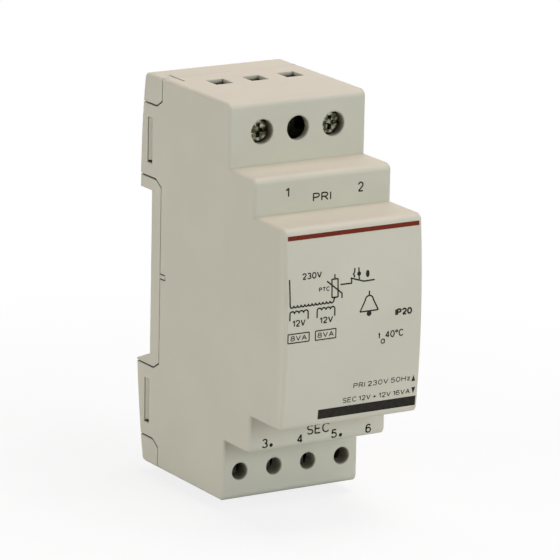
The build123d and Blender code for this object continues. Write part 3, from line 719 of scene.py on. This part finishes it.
def filled(name, outline, rings=4):
    """A solid mark of ink with that outline, given in millimetres, in rings that follow the surface."""
    mesh = bpy.data.meshes.new(name)
    shape = bmesh.new()
    count = len(outline)
    centre = sum((Vector(point) for point in outline), Vector((0.0, 0.0))) / count
    drawn = [[centre.lerp(Vector(point), k / rings) * mm for point in outline] for k in range(rings, 0, -1)]
    levels = [[shape.verts.new((x, z, -ink_sunk)) for x, z in drawn[0]]]
    levels += [[shape.verts.new((x, z, ink_film - ink_sunk)) for x, z in ring] for ring in drawn]
    for outer, inner in zip(levels, levels[1:]):
        for k in range(count):
            following = (k + 1) % count
            shape.faces.new((outer[k], outer[following], inner[following], inner[k]))
    shape.faces.new(levels[-1])
    shape.faces.new(levels[0][::-1])
    bmesh.ops.recalc_face_normals(shape, faces=shape.faces)
    shape.to_mesh(mesh)
    lay_on_front(mesh)
    printed(name, mesh, black_ink)


# Each dot has its middle, half its width and half its height in millimetres.
dots = {
    "start_dot_3": (-12.05, -29.63, 0.45, 0.45),
    "start_dot_5": (5.93, -29.7, 0.45, 0.45),
    "bell_clapper": (bell_x, 1.86, 0.62, 0.62),
    "switch_dot": (1.07, 11.03, 0.5, 0.5),
    "push_dot": (3.28, 10.8, 0.47, 0.82),
}
last_angle = 340
for name, (x, z, half_width, half_height) in dots.items():
    filled(name, arc(x, z, half_width, half_height, 0, last_angle))
filled("primary_arrow", [(15.51, -15.18), (16.51, -15.18), (16.01, -13.73)])
filled("secondary_arrow", [(15.65, -16.6), (16.15, -18.05), (16.65, -16.6)])

# Floor: a wide white sheet under the part that only takes its soft shadow.
# Seen by the camera and by shiny pieces it is plain white, so nothing but the shadow shows.
floor_half = 3.0
floor_z = cad_box[0].z
floor_corners = ((-1, -1), (1, -1), (1, 1), (-1, 1))
white = (1.0, 1.0, 1.0, 1.0)
paper_dark = shade_of(246, 246, 246)
paper_light = shade_of(250, 250, 250)
paper_bounce = shade_of(222, 222, 222)
paper_size = 20 * mm
paper_rough = 0.9
shadow_reach = 60 * mm
plain_reach = 170 * mm
shadow_white = 0.82
mesh = bpy.data.meshes.new("floor")
mesh.from_pydata([(x * floor_half, y * floor_half, floor_z) for x, y in floor_corners], [], [(0, 1, 2, 3)])
floor = bpy.data.objects.new("floor", mesh)
bpy.context.scene.collection.objects.link(floor)


def seen_white(tree):
    """1 on rays from the camera and from shiny or clear surfaces, which see plain white."""
    rays = add_node(tree, "ShaderNodeLightPath").outputs
    seen = calculate(tree, "MAXIMUM", rays["Is Camera Ray"], rays["Is Glossy Ray"])
    return calculate(tree, "MAXIMUM", seen, rays["Is Transmission Ray"])


material, tree, shader, place = start_material("floor_white")
paper = two_tone(tree, noise(tree, place, paper_size), paper_dark, paper_light)
seen = seen_white(tree)
sheet = add_node(tree, "ShaderNodeMixRGB", {"Fac": seen, "Color1": paper_bounce, "Color2": paper})
tree.links.new(sheet.outputs["Color"], shader.inputs["Base Color"])
shader.inputs["Roughness"].default_value = paper_rough
shader.inputs["Specular IOR Level"].default_value = 0.0
from_part = add_node(tree, "ShaderNodeVectorMath", {0: place}, operation="LENGTH").outputs["Value"]
plain = add_node(
    tree,
    "ShaderNodeMapRange",
    {
        "Value": from_part,
        "From Min": shadow_reach,
        "From Max": plain_reach,
        "To Min": shadow_white,
        "To Max": 1.0,
    },
).outputs["Result"]
share = calculate(tree, "MULTIPLY", plain, seen)
glow = add_node(tree, "ShaderNodeEmission", {"Color": white, "Strength": 1.0}).outputs["Emission"]
mixed = add_node(tree, "ShaderNodeMixShader", {0: share, 1: shader.outputs["BSDF"], 2: glow})
tree.links.new(mixed.outputs["Shader"], tree.nodes["Material Output"].inputs["Surface"])
mesh.materials.append(material)

# Light: a warm softbox close overhead, cooler ones on the far left and the front right, and two behind.
# The world is white where it is seen and almost dark as light, so that the holes stay deep.
ambient = 0.03
world = bpy.data.worlds.new("studio")
bpy.context.scene.world = world
world.use_nodes = True
tree = world.node_tree
room = tree.nodes["Background"]
room.inputs["Color"].default_value = white
room.inputs["Strength"].default_value = ambient
backdrop = add_node(tree, "ShaderNodeBackground", {"Color": white, "Strength": 1.0})
mixed = add_node(
    tree,
    "ShaderNodeMixShader",
    {0: seen_white(tree), 1: room.outputs["Background"], 2: backdrop.outputs["Background"]},
)
tree.links.new(mixed.outputs["Shader"], tree.nodes["World Output"].inputs["Surface"])


def softbox(name, place, aim, size, watts, colour):
    """A square softbox at a place, turned to face an aim."""
    lamp = bpy.data.lights.new(name, "AREA")
    lamp.size = size
    lamp.energy = watts
    lamp.color = colour
    light = bpy.data.objects.new(name, lamp)
    bpy.context.scene.collection.objects.link(light)
    facing = (Vector(aim) - Vector(place)).to_track_quat("-Z", "Y")
    light.matrix_world = Matrix.Translation(place) @ facing.to_matrix().to_4x4()


# Each lamp has its place and its side in metres, its watts and its colour.
lamps = {
    "overhead": ((0.1, -0.05, 0.5), 0.35, 2.12, (1.0, 0.89, 0.9)),
    "far_left": ((-1.5, 0.1, 0.15), 0.9, 17.7, (0.955, 1.0, 1.0)),
    "front_right": ((0.5, -1.4, 0.3), 0.9, 15.6, (0.845, 0.955, 1.0)),
    "behind_right": ((0.6, 1.3, 0.2), 0.9, 3.0, (1.0, 1.0, 0.9)),
    "behind": ((-0.05, 1.4, 0.1), 0.3, 5.0, (1.0, 0.99, 0.97)),
}
middle = (cad_box[0] + cad_box[1]) / 2
for name, (place, size, watts, colour) in lamps.items():
    softbox(name, place, middle, size, watts, colour)

# Camera: a long lens from the front left and a little above, with the slight tilt of the photograph.
photo_azimuth = radians(-31.348)
photo_elevation = radians(14.538)
photo_roll = radians(1.168)
photo_distance = 1.06613
photo_aim = (0.0117, -0.00815, -0.00336)
photo_lens = 300.8
film_width = 36.0
camera = bpy.data.objects.new("camera", bpy.data.cameras.new("camera"))
camera.data.sensor_width = film_width
camera.data.lens = photo_lens
turned = Matrix.Rotation(photo_azimuth, 4, "Z") @ Matrix.Rotation(pi / 2 - photo_elevation, 4, "X")
turned = turned @ Matrix.Rotation(photo_roll, 4, "Z")
camera.matrix_world = Matrix.Translation(photo_aim) @ turned @ Matrix.Translation((0.0, 0.0, photo_distance))
bpy.context.scene.collection.objects.link(camera)
bpy.context.scene.camera = camera
bpy.context.scene.view_settings.view_transform = "Standard"
